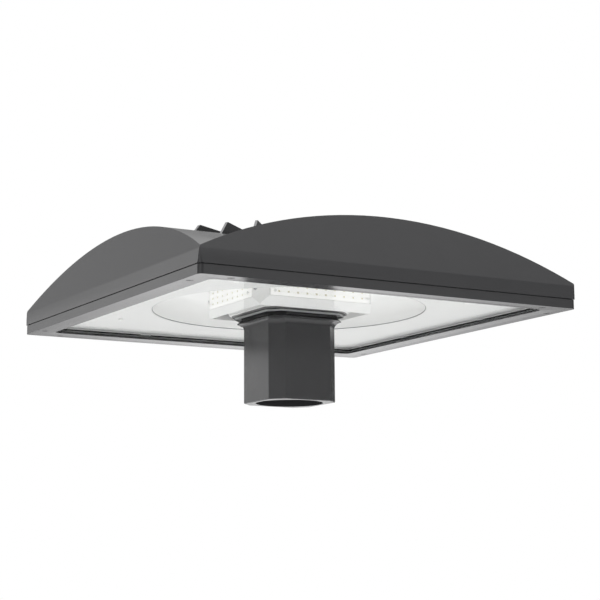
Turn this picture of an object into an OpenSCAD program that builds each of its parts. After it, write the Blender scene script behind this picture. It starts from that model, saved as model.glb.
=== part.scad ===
// Post-top square area light: an arched cast housing with cooling fins in its four corner
// valleys, a framed glass door below it, and an eight-sided pole fitter through the glass.
// Millimetres, +Z up. The origin is the centre of the fitter's mouth.

/* [Housing] */
// Width of the square housing across its skirt
side = 622; // [600:1:640]
// Rounding of the housing's upright corners
corner_r = 7; // [6:0.5:16]
// Wall of the casting
wall = 3.5; // [3:0.1:5]
// Height of the upright skirt above the seam
skirt_h = 19.5; // [14:0.5:22]
// Draft of the skirt: how far it draws in up to the crease
skirt_draft = 1.5; // [0.5:0.1:3]
// Angle by which the four faces lean in above the crease
lean = 15.8; // [10:0.1:22]
// Height of the arches' crown above the crease
arch_rise = 75.5; // [70:0.5:84]
// Height of the arches' ends above the crease, at the corners
arch_end = 4; // [3:0.5:12]

/* [Cooling fins] */
// Fins in each corner valley
fin_count = 4; // [2:1:5]
// Angle between two fins
fin_pitch = 10; // [8:0.5:11]
// Thickness of a fin
fin_t = 3.5; // [3:0.1:5]
// Radius of the fins' tips from the centre
fin_reach = 254; // [240:1:266]
// Drop of the fins' level top edges below the crown
fin_drop = 2; // [1:0.2:10]
// Length of a fin's level top edge
fin_l = 180; // [150:1:190]

/* [Lens door] */
// How far the door frame lies inside the housing's skirt
frame_inset = 1; // [0.5:0.5:4]
// Height of the door frame
frame_h = 13.5; // [13:0.5:16]
// Width of the frame's underside
frame_rim = 34; // [32:0.5:40]
// Thickness of the rim that the glass lies on
rim_t = 3.6; // [3:0.1:4.4]
// Rise of the rim's underside from its middle to its inner edge
rim_rise = 1; // [0.4:0.1:1.5]
// Thickness of the frame's outer wall
frame_wall = 6; // [5:0.1:7]
// Height of the seam between door and housing
seam = 1; // [0.6:0.1:1.5]
// Thickness of the glass
glass_t = 4; // [3:0.5:5]
// How far the glass reaches over the rim
glass_lap = 10; // [8:0.5:11]
// Thickness of the gasket under the glass
glass_gasket_t = 1; // [0.6:0.1:1.5]
// Clear space between the fitter's lip and the hole in the glass
glass_play = 3.5; // [2:0.1:4.5]

/* [Pole fitter] */
// Diameter of the round pole top that the socket takes
pole_d = 101.6; // [98:0.1:104]
// Play of the pole top in the socket, on the diameter
pole_play = 1.2; // [1:0.1:4]
// Depth of the socket from its mouth to its stop
socket_depth = 105; // [95:1:108]
// Wall of the fitter at its flats
fitter_wall = 6.5; // [6:0.25:9]
// Wall of the fitter at its chamfered corners
fitter_corner = 17; // [16:0.25:20]
// Length of the fitter below the door frame
fitter_drop = 125; // [118:1:140]
// How far the flared lip stands out from the flats
lip_out = 6.5; // [6:0.25:12]
// Diameter of the set screws' thread
set_screw_d = 8; // [6:1:10]
// Height of the lower set screws above the mouth
set_screw_z = 54; // [30:1:60]
// Distance between the lower and the upper set screws
set_screw_gap = 40; // [20:1:42]
// Diameter of the bolts that hold fitter, hub and housing together
bolt_d = 8; // [6:1:8]
// Bolt circle of those bolts
bolt_circle = 64; // [60:1:66]
// Diameter of the wire way through fitter and hub
wire_way = 28; // [20:1:30]

/* [Light hub] */
// Distance from the axis to the lit faces on the left and the right
hub_x = 101; // [99:0.5:104]
// Distance from the axis to the lit faces at the front and the back
hub_y = 95.5; // [95:0.5:98]
// Half the length of the lit faces on the left and the right
hub_short = 69; // [66:0.5:71]
// Half the length of the lit faces at the front and the back
hub_long = 87; // [84:0.5:89]
// Height of an LED board
board_h = 29; // [26:0.5:30]
// Thickness of an LED board
board_t = 1.6; // [1:0.1:2]
// Thickness of a lens plate, from the board to its flat front
optic_t = 3; // [2.6:0.1:4]
// LEDs along the front and the back board, two more than on the others
led_columns = 10; // [5:1:10]
// Rows of LEDs on one board
led_rows = 3; // [2:1:3]
// Distance between LEDs along a board
led_pitch = 16; // [13:0.5:16]
// Distance between rows of LEDs
row_pitch = 8.5; // [7.6:0.1:9]
// Wall of the hub
hub_wall = 4; // [3:0.5:6]

/* [Reflectors] */
// Radius of the round opening in the reflector pan
pan_hole_r = 211; // [200:1:212]
// Height of the pan above the housing's lower edge
pan_lift = 3.6; // [3:0.1:5]
// Flat border of the pan round its opening
pan_border = 3; // [2:0.5:12]
// Sheet thickness of pan, dish and skirt
sheet_t = 1.2; // [0.8:0.1:1.5]

/* [Control gear] */
// Length of a driver
driver_l = 138; // [110:1:142]
// Width of a driver
driver_w = 66; // [50:1:74]
// Height of a driver
driver_h = 35; // [25:1:38]
// Width of the square surge protector
surge_w = 48; // [40:1:60]
// Height of the surge protector
surge_h = 34; // [24:1:38]
// Distance between two poles of the terminal block
terminal_pitch = 16; // [12:0.5:18]
// Width of the terminal block
terminal_w = 32; // [26:1:40]
// Height of the terminal block
terminal_h = 20; // [18:1:30]
// Thickness of the gear tray
tray_t = 1.5; // [1:0.1:2.5]
// Width of the tray's arms
tray_arm = 108; // [100:1:120]

/* [Hidden] */
$fn = 64;

graphite = [0.22, 0.22, 0.23];
white_sheet = [0.93, 0.93, 0.92];
bright_metal = [0.75, 0.76, 0.78];
rubber = [0.06, 0.06, 0.06];
clear_glass = [0.85, 0.92, 0.94, 0.35];
clear_plastic = [0.97, 0.98, 0.98, 0.6];
led_yellow = [0.95, 0.85, 0.4];
lead_white = [0.9, 0.9, 0.88];

cut = 1;                    // how far a cutter passes the face that it opens
run_gap = 0.05;             // radial running clearance of a screw in its hole
seat_gap = 0.3;             // gap left beside a curved or soft neighbour

// Heights, from the mouth of the fitter up
rim_top = fitter_drop + rim_t;
glass_low = rim_top + glass_gasket_t;
glass_top = glass_low + glass_t;
frame_top = fitter_drop + frame_h;
skirt_z = frame_top + seam;
crease_z = skirt_z + skirt_h;
crown_z = crease_z + arch_rise;
hub_gasket_t = 3;
foot_z = glass_top + hub_gasket_t;
skirt_gap = 0.6;            // from the glass to the skirt reflector's lower edge
foot_h = 10.6;              // height of the hub's foot below its lit body
hub_z = foot_z + foot_h;
board_z = hub_z + 0.2;
flange_z = board_z + board_h + 4.6;
flange_t = 4;
tray_z = flange_z + flange_t;
gear_z = tray_z + tray_t;
pan_z = skirt_z + pan_lift;
dish_z = pan_z + sheet_t;

// Half widths of the housing at the seam, the crease and the crown
half = side / 2;
crease_half = half - skirt_draft;
crown_half = crease_half - arch_rise * tan(lean);
ledge_half = half - 12;
ledge_h = 6;
arch_end_half = crease_half - arch_end * tan(lean);
arch_sag = arch_rise - arch_end;
arch_r = (pow(arch_end_half, 2) + pow(arch_sag, 2)) / (2 * arch_sag);

// Door
frame_half = half - frame_inset;
window_half = frame_half - frame_rim;
window_r = 13;
glass_half = window_half + glass_lap;
boss_inset = 12.5;          // from the frame's outer face to the screws' line
boss_half = frame_half - boss_inset;
boss_r = 6.5;
frame_screw_d = 5;
frame_screw_x = frame_half - 53;
clip_x = 110;
clip_w = 16;
clip_t = 1.2;
clip_boss_r = 4.5;
clip_line = frame_half - 13.5;

// Fitter
bore_r = (pole_d + pole_play) / 2;
flat_half = bore_r + fitter_wall;
chamfer_half = bore_r + fitter_corner;
lip_half = flat_half + lip_out;
lip_corner = chamfer_half + lip_out * 1.75;
neck_out = 3.85;            // how far the neck above the lip stands out from the flats
neck_half = flat_half + neck_out;
neck_corner = chamfer_half + neck_out;
lip_z = fitter_drop - 2.5;
flare_h = 9.5;
lip_t = 1.5;
lip_bevel = 2;
pocket_r = bore_r - 6;
web_z = socket_depth + bolt_d + 1;
bolt_r = bolt_circle / 2;

// Hub
cutout_half = lip_half + glass_play;
cutout_corner = lip_corner + glass_play;
gasket_half = cutout_half + 4;
gasket_corner = cutout_corner + 5;
foot_half = gasket_half + 4;
foot_corner = gasket_corner + 4;
corner_turn = atan2(hub_x - hub_long, hub_y - hub_short);
corner_face = hub_x * cos(corner_turn) + hub_short * sin(corner_turn);
corner_w = norm([hub_x - hub_long, hub_y - hub_short]);
corner_mid = hub_short * cos(corner_turn) - hub_x * sin(corner_turn) + corner_w / 2;
post_r = bolt_d / 2 + 5;
flange_r = norm([hub_long, hub_y]) + 13.5;
flange_hole_r = hub_y - 11;
skirt_low = glass_top + skirt_gap;
skirt_x = max(hub_x - 7, foot_half + 2);
skirt_y = max(hub_y - 17, foot_half + 2);
lead_y = 12;                // from the middle of a side board to its two leads
sheet_screw_l = 12;         // how far the screws of pan and tray reach into the housing
dome_r = 3.6;
dome_out = 2.7;
dish_in_r = flange_r - 11;
dish_top = flange_z;
dish_flange_r = pan_hole_r + 15;
dish_wall = 26;
pan_half = glass_half - 2;
pan_edge_z = glass_top + 3;
pan_flat = pan_hole_r + pan_border;
pan_post = pan_flat - 19;
tray_screw_x = half - 40;
driver_x = tray_screw_x - 13 - driver_l / 2;

// ---------- helpers ----------

// A square with rounded corners, h from its centre to each side
module rounded_square(h, r) {
    square([2 * (h - r), 2 * h], center = true);
    square([2 * h, 2 * (h - r)], center = true);
    for (sx = [-1, 1], sy = [-1, 1])
        translate([sx * (h - r), sy * (h - r)]) circle(r);
}

// A flat square ring of height t
module square_ring(outer, inner, t, r_out, r_in) {
    linear_extrude(t) difference() {
        rounded_square(outer, r_out);
        rounded_square(inner, r_in);
    }
}

// The corners of an octagon: flats at distance a, chamfered sides at distance c
function octagon(a, c) = let (k = c * sqrt(2) - a)
    [[a, -k], [a, k], [k, a], [-k, a], [-a, k], [-a, -k], [-k, -a], [k, -a]];

module octagon_plate(a, c, t) {
    linear_extrude(t) polygon(octagon(a, c));
}

module octagon_ring(a, c, a_in, c_in, t) {
    linear_extrude(t) difference() {
        polygon(octagon(a, c));
        polygon(octagon(a_in, c_in));
    }
}

// A bar with a mirrored profile of [half width, height] points, run along Y
module profile_bar(points, span) {
    low = [for (i = [len(points) - 1:-1:0]) [-points[i][0], points[i][1]]];
    rotate([90, 0, 0]) linear_extrude(span, center = true) polygon(concat(points, low));
}

// A four-sided form whose half width follows the profile
module square_form(points, span) {
    intersection() {
        profile_bar(points, span);
        rotate([0, 0, 90]) profile_bar(points, span);
    }
}

// An eight-sided form whose flats and chamfers follow their own profiles
module octagon_form(flats, chamfers, span) {
    intersection() {
        square_form(flats, span);
        rotate([0, 0, 45]) square_form(chamfers, span);
    }
}

// The hub's outline, its faces moved in by d: long faces at front and back, cut corners
function hub_outline(d) = let (x = hub_x - d, y = hub_y - d, c = corner_face - d,
        short = (c - x * cos(corner_turn)) / sin(corner_turn),
        long = (c - y * sin(corner_turn)) / cos(corner_turn))
    [[x, -short], [x, short], [long, y], [-long, y], [-x, short], [-x, -short], [-long, -y],
        [long, -y]];

module hub_plate(d, t) {
    linear_extrude(t) polygon(hub_outline(d));
}

// The outer side of the skirt below the hub, or its inner side when moved in by d
module skirt_form(d, low) {
    top_x = hub_x + board_t - d;
    top_y = hub_y + board_t - d;
    shoulder = hub_z - sheet_t;
    crest = d > 0 ? shoulder : hub_z;
    intersection() {
        translate([0, 0, low]) hub_plate(d - board_t, crest - low);
        profile_bar([[skirt_x + sheet_t - d, low - cut], [skirt_x + sheet_t - d, skirt_low],
            [top_x, shoulder], [top_x, crest + cut]], 4 * hub_x);
        rotate([0, 0, 90]) profile_bar([[skirt_y + sheet_t - d, low - cut],
            [skirt_y + sheet_t - d, skirt_low], [top_y, shoulder], [top_y, crest + cut]],
            4 * hub_x);
    }
}

// Its children on the hub's four corner faces, +X being out of the face
module hub_corners() {
    for (mx = [0, 1], my = [0, 1]) mirror([mx, 0, 0]) mirror([0, my, 0])
        rotate([0, 0, corner_turn]) translate([corner_face, corner_mid, 0]) children();
}

// Its children on all four sides
module four_ways() {
    for (q = [0:3]) rotate([0, 0, 90 * q]) children();
}

// Its children at (x, y) and (x, -y), on all four sides
module eight_ways(x, y) {
    four_ways() for (s = [-1, 1]) translate([x, s * y, 0]) children();
}

// A cap screw that points up: its head below z = 0 and its shank above, with a hex socket
module screw_up(d, length, head_d, head_h) {
    difference() {
        union() {
            cylinder(d = d, h = length);
            translate([0, 0, -head_h]) cylinder(d = head_d, h = head_h);
        }
        translate([0, 0, -head_h - cut]) cylinder(d = d * 0.8, h = head_h * 0.6 + cut, $fn = 6);
    }
}

// The same screw pointing down
module screw_down(d, length, head_d, head_h) {
    mirror([0, 0, 1]) screw_up(d, length, head_d, head_h);
}

// ---------- housing ----------

module vault(r) {
    translate([0, 0, crown_z - arch_r]) rotate([0, 90, 0])
        cylinder(r = r, h = side + 40, center = true, $fn = 240);
}

// The housing's outer form, drawn in by a wall's thickness for its hollow
module arched_form(inset, low) {
    intersection() {
        translate([0, 0, low]) linear_extrude(crown_z - low)
            rounded_square(half - inset, corner_r - inset);
        square_form([[half - inset, low], [crease_half - inset, crease_z],
            [crown_half - inset, crown_z]], side + 20);
        union() {
            vault(arch_r - inset);
            rotate([0, 0, 90]) vault(arch_r - inset);
        }
    }
}

module fin() {
    top = crown_z - fin_drop;
    tip = 3;
    drop = 34;
    rotate([90, 0, 0]) linear_extrude(fin_t, center = true)
        polygon([[fin_reach - fin_l, crease_z], [fin_reach - fin_l, top], [fin_reach - tip, top],
            [fin_reach - tip * 0.3, top - tip * 0.3], [fin_reach + drop, top - drop],
            [fin_reach - 10, crease_z]]);
}

module housing_posts() {
    for (q = [0:3]) rotate([0, 0, 45 + 90 * q]) translate([bolt_r, 0, tray_z])
        cylinder(r = post_r, h = crown_z - tray_z);
    four_ways() translate([tray_screw_x, 0, gear_z]) cylinder(r = 6, h = crown_z - gear_z);
    four_ways() translate([pan_post, pan_post, dish_z]) cylinder(r = 7, h = crown_z - dish_z);
    eight_ways(boss_half, frame_screw_x) {
        translate([0, 0, skirt_z]) cylinder(r = boss_r, h = skirt_h + 4);
        translate([0, -boss_r, skirt_z]) cube([boss_inset, 2 * boss_r, skirt_h]);
    }
}

module top_housing() {
    color(graphite) difference() {
        union() {
            arched_form(0, skirt_z);
            for (q = [0:3], i = [0:fin_count - 1])
                rotate([0, 0, 45 + 90 * q + (i - (fin_count - 1) / 2) * fin_pitch]) fin();
        }
        difference() {
            union() {
                arched_form(wall, skirt_z + ledge_h);
                translate([0, 0, skirt_z - cut]) linear_extrude(ledge_h + 2 * cut)
                    rounded_square(ledge_half, corner_r);
            }
            housing_posts();
        }
        for (q = [0:3]) rotate([0, 0, 45 + 90 * q]) translate([bolt_r, 0, tray_z - cut])
            cylinder(d = bolt_d + 2 * run_gap, h = 22 + cut);
        four_ways() translate([tray_screw_x, 0, gear_z - cut])
            cylinder(d = 4 + 2 * run_gap, h = 14 + cut);
        four_ways() translate([pan_post, pan_post, dish_z - cut])
            cylinder(d = 4 + 2 * run_gap, h = 14 + cut);
        eight_ways(boss_half, frame_screw_x) translate([0, 0, skirt_z - cut])
            cylinder(d = frame_screw_d + 2 * run_gap, h = skirt_h - 4 + cut);
    }
}

// ---------- lens door ----------

module lens_frame() {
    color(graphite) difference() {
        union() {
            translate([0, 0, fitter_drop])
                square_ring(frame_half, window_half, rim_t, corner_r, window_r);
            translate([0, 0, fitter_drop])
                square_ring(frame_half, frame_half - frame_wall, frame_h, corner_r, corner_r);
            eight_ways(boss_half, frame_screw_x) {
                translate([0, 0, fitter_drop]) cylinder(r = boss_r, h = frame_h);
                translate([0, -boss_r, fitter_drop]) cube([boss_inset - 2, 2 * boss_r, frame_h]);
            }
            eight_ways(clip_line, clip_x) translate([0, 0, fitter_drop])
                cylinder(r = clip_boss_r, h = glass_top - fitter_drop);
        }
        square_form([[window_half + frame_rim / 2 + cut, fitter_drop - cut],
            [window_half + frame_rim / 2, fitter_drop], [window_half, fitter_drop + rim_rise]],
            4 * frame_half);
        eight_ways(boss_half, frame_screw_x) translate([0, 0, fitter_drop - cut]) {
            cylinder(d = frame_screw_d + 0.4, h = frame_h + 2 * cut);
            cylinder(d = frame_screw_d + 4.6, h = 4 + cut);
        }
        eight_ways(clip_line, clip_x) translate([0, 0, rim_top])
            cylinder(d = 3 + 2 * run_gap, h = glass_t + 4);
    }
}

module lens_glass() {
    color(clear_glass) translate([0, 0, glass_low]) linear_extrude(glass_t) difference() {
        rounded_square(glass_half, 6);
        polygon(octagon(cutout_half, cutout_corner));
    }
}

module glass_gasket() {
    color(rubber) translate([0, 0, rim_top])
        square_ring(glass_half, window_half + 1, glass_gasket_t, 6, window_r - 1);
}

module glass_clips() {
    color(bright_metal) eight_ways(clip_line, clip_x) difference() {
        union() {
            translate([-15, -clip_w / 2, glass_top]) cube([19, clip_w, clip_t]);
            translate([-15, -clip_w / 2, glass_top + clip_t]) cube([1.4, clip_w, 1]);
        }
        translate([0, 0, glass_top - cut]) cylinder(d = 3.4, h = clip_t + 2 * cut);
    }
}

module clip_screws() {
    color(bright_metal) eight_ways(clip_line, clip_x)
        translate([0, 0, glass_top + clip_t]) screw_down(3, clip_t + glass_t - 0.4, 5.6, 1.8);
}

module frame_screws() {
    color(bright_metal) eight_ways(boss_half, frame_screw_x)
        translate([0, 0, fitter_drop + 4]) screw_up(frame_screw_d, frame_h + seam + 7, 8.6, 3.4);
}

module frame_gasket() {
    color(rubber) translate([0, 0, frame_top])
        square_ring(frame_half - 2.6, frame_half - 8, seam, corner_r, corner_r - 2);
}

// ---------- pole fitter ----------

// Half width of the fitter up its height, from a plain half width and the lip's
function fitter_profile(plain, lip, neck) = concat(
    [[plain - 1, 0], [plain, 1], [plain, lip_z - flare_h]],
    [for (i = [1:6]) let (t = i * 15)
        [plain + (lip - plain) * (1 - cos(t)), lip_z - flare_h * (1 - sin(t))]],
    [[lip, lip_z + lip_t], [lip - lip_bevel, lip_z + lip_t + lip_bevel],
        [neck, lip_z + lip_t + lip_bevel + 1], [neck, foot_z]]);

module pole_fitter() {
    color(graphite) difference() {
        octagon_form(fitter_profile(flat_half, lip_half, neck_half),
            fitter_profile(chamfer_half, lip_corner, neck_corner), 4 * lip_half);
        translate([0, 0, -cut]) cylinder(r = bore_r, h = socket_depth + cut, $fn = 96);
        translate([0, 0, socket_depth - cut])
            cylinder(r = pocket_r, h = web_z - socket_depth + cut);
        cylinder(d = wire_way, h = foot_z + cut);
        for (q = [0:3]) rotate([0, 0, 45 + 90 * q]) translate([bolt_r, 0, 0])
            cylinder(d = bolt_d + 2 * run_gap, h = foot_z + cut);
        for (turn = [0, 90], i = [0, 1]) rotate([0, 0, turn])
            translate([0, 0, set_screw_z + i * set_screw_gap]) rotate([0, 90, 0])
                cylinder(d = set_screw_d + 2 * run_gap, h = flat_half + cut);
    }
}

// A headless screw along +X, its cup point just behind the socket's wall
module set_screw(turn, z) {
    length = fitter_wall + 0.75;
    color(bright_metal) rotate([0, 0, turn]) translate([bore_r + 0.25, 0, z]) rotate([0, 90, 0])
        difference() {
            cylinder(d = set_screw_d, h = length);
            translate([0, 0, length - 4]) cylinder(d = set_screw_d / 2, h = 4 + cut, $fn = 6);
            translate([0, 0, -cut]) cylinder(d = set_screw_d / 2, h = cut + 1);
        }
}

module fitter_bolts() {
    color(bright_metal) for (q = [0:3]) rotate([0, 0, 45 + 90 * q])
        translate([bolt_r, 0, web_z]) screw_up(bolt_d, tray_z + 16 - web_z, bolt_d * 1.6, bolt_d);
}

// ---------- light hub ----------

module hub_gasket() {
    color(rubber) translate([0, 0, glass_top])
        octagon_ring(gasket_half, gasket_corner, neck_half + seat_gap, neck_corner + seat_gap,
            hub_gasket_t);
}

module led_hub() {
    color(white_sheet) difference() {
        union() {
            translate([0, 0, foot_z]) octagon_plate(foot_half, foot_corner, hub_z - foot_z);
            translate([0, 0, hub_z]) hub_plate(0, flange_z - hub_z);
            translate([0, 0, flange_z]) cylinder(r = flange_r, h = flange_t, $fn = 96);
        }
        difference() {
            translate([0, 0, hub_z + hub_wall]) hub_plate(hub_wall, flange_z - hub_z - hub_wall);
            for (q = [0:3]) rotate([0, 0, 45 + 90 * q]) translate([bolt_r, 0, hub_z])
                cylinder(r = post_r, h = flange_z - hub_z);
        }
        difference() {
            translate([0, 0, flange_z - cut]) cylinder(r = flange_hole_r, h = flange_t + 2 * cut);
            for (q = [0:3]) rotate([0, 0, 45 + 90 * q]) translate([bolt_r, 0, flange_z - 2 * cut])
                cylinder(r = post_r, h = flange_t + 2 * cut);
        }
        for (q = [0:3]) rotate([0, 0, 45 + 90 * q]) translate([bolt_r, 0, foot_z - cut])
            cylinder(d = bolt_d + 2 * run_gap, h = tray_z - foot_z + 2 * cut);
        translate([0, 0, foot_z - cut]) cylinder(d = wire_way, h = 20);
        for (turn = [0, 180], s = [-1, 1]) rotate([0, 0, turn])
            translate([hub_x - hub_wall - cut, s * lead_y, hub_z + 14]) rotate([0, 90, 0])
                cylinder(d = 5, h = hub_wall + 2 * cut);
    }
}

// Each side of the hub: its turn, the distance of its face, half its length and its LEDs
RIGHT = [0, hub_x, hub_short, led_columns - 2];
BACK = [90, hub_y, hub_long, led_columns];
LEFT = [180, hub_x, hub_short, led_columns - 2];
FRONT = [-90, hub_y, hub_long, led_columns];

// A board stands against the face of its side
module led_board(place) {
    color([0.95, 0.95, 0.95]) rotate([0, 0, place[0]])
        translate([place[1], 1.5 - place[2], board_z]) cube([board_t, 2 * place[2] - 3, board_h]);
}

function led_y(i, count) = (i - (count - 1) / 2) * led_pitch;
function led_z(j) = board_z + board_h / 2 + (j - (led_rows - 1) / 2) * row_pitch;

// A round cap of a sphere, its flat side down
module lens_dome() {
    rotate_extrude($fn = 24) intersection() {
        translate([0, dome_out - dome_r]) circle(r = dome_r, $fn = 32);
        square([dome_r, dome_out]);
    }
}

module led_optic(place) {
    back = place[1] + board_t;
    reach = place[2] - 3;
    color(clear_plastic) rotate([0, 0, place[0]]) difference() {
        union() {
            translate([back, -reach, board_z + 1]) cube([optic_t, 2 * reach, board_h - 2]);
            for (i = [0:place[3] - 1], j = [0:led_rows - 1])
                translate([back + optic_t - 0.5, led_y(i, place[3]), led_z(j)])
                    rotate([0, 90, 0]) lens_dome();
        }
        translate([back - cut, 3 - reach, board_z + 3])
            cube([cut + optic_t - 1.5, 2 * reach - 6, board_h - 6]);
    }
}

module led_chips() {
    color(led_yellow) for (place = [RIGHT, BACK, LEFT, FRONT]) rotate([0, 0, place[0]])
        for (i = [0:place[3] - 1], j = [0:led_rows - 1])
            translate([place[1] + board_t, led_y(i, place[3]) - 1.5, led_z(j) - 1.5])
                cube([0.7, 3, 3]);
}

module optic_screws() {
    color(bright_metal) for (place = [RIGHT, BACK, LEFT, FRONT]) rotate([0, 0, place[0]])
        for (s = [-1, 1])
            translate([place[1] + board_t + optic_t, s * (place[2] - 6.4), led_z(0)])
                rotate([0, 90, 0]) difference() {
                    cylinder(d = 4.6, h = 1.4);
                    cylinder(d = 2, h = 2 * cut, $fn = 6);
                }
}

module corner_reflectors() {
    width = corner_w - 1;
    color(white_sheet) hub_corners() translate([0, -width / 2, hub_z])
        cube([sheet_t, width, flange_z - hub_z - 0.5]);
}

module corner_screws() {
    color(bright_metal) hub_corners()
        translate([sheet_t, -corner_w * 0.31, hub_z + 12]) rotate([0, 90, 0])
            difference() {
                cylinder(d = 6, h = 1.8);
                translate([0, 0, 0.8]) cylinder(d = 2.6, h = 2 * cut, $fn = 6);
            }
}

module skirt_reflector() {
    color(white_sheet) difference() {
        skirt_form(0, skirt_low);
        skirt_form(sheet_t, skirt_low - cut);
        translate([0, 0, hub_z - 2 * sheet_t])
            octagon_plate(foot_half + seat_gap, foot_corner + seat_gap, 4 * sheet_t);
    }
}

// ---------- reflectors ----------

module reflector_pan() {
    color(white_sheet) difference() {
        square_form([[pan_half, pan_edge_z], [pan_half, pan_edge_z + sheet_t],
            [pan_flat, pan_z + sheet_t]], 4 * pan_half);
        square_form([[pan_half + 1, pan_edge_z - cut], [pan_half, pan_edge_z], [pan_flat, pan_z]],
            4 * pan_half);
        translate([0, 0, pan_z - cut]) cylinder(r = pan_hole_r, h = sheet_t + 2 * cut, $fn = 128);
        four_ways() translate([pan_post, pan_post, pan_z - cut]) cylinder(d = 4.4, h = 4);
    }
}

// The dish: a flange on the pan, a rounded wall and a flat ceiling under the hub's flange
module reflector_dish() {
    rise = dish_top - sheet_t - dish_z;
    shoulder = pan_hole_r - 2;
    arc = [for (i = [0:8]) let (t = i * 11.25)
        [shoulder - dish_wall * (1 - cos(t)), dish_z + rise * sin(t)]];
    arc_back = [for (i = [8:-1:0]) let (t = i * 11.25)
        [shoulder + sheet_t - dish_wall * (1 - cos(t)), dish_z + sheet_t + rise * sin(t)]];
    color(white_sheet) difference() {
        rotate_extrude($fn = 128) polygon(concat([[dish_flange_r, dish_z]], arc,
            [[dish_in_r, dish_top - sheet_t], [dish_in_r, dish_top]], arc_back,
            [[dish_flange_r, dish_z + sheet_t]]));
        four_ways() translate([dish_in_r + 5.5, 0, dish_top - 3]) cylinder(d = 4.4, h = 4);
    }
}

module pan_screws() {
    color(bright_metal) four_ways() translate([pan_post, pan_post, pan_z])
        screw_up(4, sheet_screw_l, 7.6, 2.4);
}

module dish_screws() {
    color(bright_metal) four_ways()
        translate([dish_in_r + 5.5, 0, dish_top - sheet_t]) difference() {
            translate([0, 0, -2]) cylinder(d = 7, h = 2);
            translate([0, 0, -2 - cut]) cylinder(d = 2.6, h = 1.2 + cut, $fn = 6);
        }
}

// ---------- control gear ----------

module gear_tray() {
    color(bright_metal) difference() {
        union() {
            for (turn = [0, 90]) rotate([0, 0, turn])
                translate([-tray_screw_x - 10, -tray_arm / 2, tray_z])
                    cube([2 * tray_screw_x + 20, tray_arm, tray_t]);
            translate([0, 0, tray_z]) cylinder(r = flange_r, h = tray_t, $fn = 96);
        }
        translate([0, 0, tray_z - cut]) cylinder(r = flange_hole_r, h = tray_t + 2 * cut);
        four_ways() translate([tray_screw_x, 0, tray_z - cut]) cylinder(d = 4.4, h = 4);
    }
}

module tray_screws() {
    color(bright_metal) four_ways()
        translate([tray_screw_x, 0, tray_z]) screw_up(4, tray_t + sheet_screw_l, 7.6, 2.4);
}

// A potted driver with a foot at each end, along +X
module driver(turn) {
    foot = 8;
    body_l = driver_l - 2 * foot;
    color([0.88, 0.88, 0.86]) rotate([0, 0, turn]) translate([driver_x, 0, gear_z]) difference() {
        union() {
            translate([-driver_l / 2, -driver_w / 2, 0]) cube([driver_l, driver_w, 2]);
            rotate([90, 0, 90]) linear_extrude(body_l, center = true)
                polygon([[-driver_w / 2, 0], [driver_w / 2, 0], [driver_w / 2, driver_h - 4],
                    [driver_w / 2 - 4, driver_h], [4 - driver_w / 2, driver_h],
                    [-driver_w / 2, driver_h - 4]]);
        }
        for (sx = [-1, 1], sy = [-1, 1])
            translate([sx * (driver_l / 2 - foot / 2), sy * (driver_w / 2 - 8), -cut])
                cylinder(d = 4.4, h = 4);
    }
}

module driver_screws() {
    color(bright_metal) for (turn = [0, 180]) rotate([0, 0, turn])
        for (sx = [-1, 1], sy = [-1, 1])
            translate([driver_x + sx * (driver_l / 2 - 4), sy * (driver_w / 2 - 8), gear_z + 2])
                difference() {
                    cylinder(d = 6.6, h = 2.4);
                    translate([0, 0, 1]) cylinder(d = 3, h = 2 + cut, $fn = 6);
                }
}

module surge_protector() {
    ear_l = 12;
    color([0.1, 0.1, 0.12]) translate([0, driver_x, gear_z]) difference() {
        union() {
            linear_extrude(surge_h) rounded_square(surge_w / 2, surge_w / 8);
            translate([-surge_w / 2 - ear_l, -surge_w / 4, 0])
                cube([surge_w + 2 * ear_l, surge_w / 2, 3]);
        }
        for (s = [-1, 1]) translate([s * (surge_w + ear_l) / 2, 0, -cut]) cylinder(d = 4.4, h = 6);
    }
}

module terminal_block() {
    poles = 3;
    base_h = 6;
    pole_w = terminal_pitch - 2;
    length = (poles + 1) * terminal_pitch;
    color([0.82, 0.8, 0.74]) translate([0, -driver_x, gear_z]) difference() {
        union() {
            translate([-length / 2, -terminal_w / 2, 0]) cube([length, terminal_w, base_h]);
            for (i = [0:poles - 1])
                translate([(i - 1) * terminal_pitch - pole_w / 2, 3 - terminal_w / 2, base_h])
                    cube([pole_w, terminal_w - 6, terminal_h - base_h]);
        }
        for (i = [0:poles - 1]) translate([(i - 1) * terminal_pitch, 0, 0]) {
            for (s = [-1, 1]) translate([0, s * terminal_w * 0.22, base_h + 6])
                cylinder(d = 5, h = terminal_h);
            translate([0, 0, base_h + 4]) rotate([90, 0, 0])
                cylinder(d = 5, h = terminal_w + 2 * cut, center = true);
        }
    }
}

module ground_screw() {
    color([0.1, 0.45, 0.2]) translate([tray_arm / 2 - 12, -driver_x, gear_z]) difference() {
        cylinder(d = 10, h = 4, $fn = 6);
        translate([0, 0, 2.4]) cylinder(d = 5, h = 2 + cut);
    }
}

// A quarter bend of a round lead in the XZ plane, from the angle `from` on
module elbow(from, bend, d) {
    rotate([90, 0, 0]) rotate([0, 0, from]) rotate_extrude(angle = 90, $fn = 48)
        translate([bend, 0]) circle(d = d, $fn = 24);
}

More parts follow.
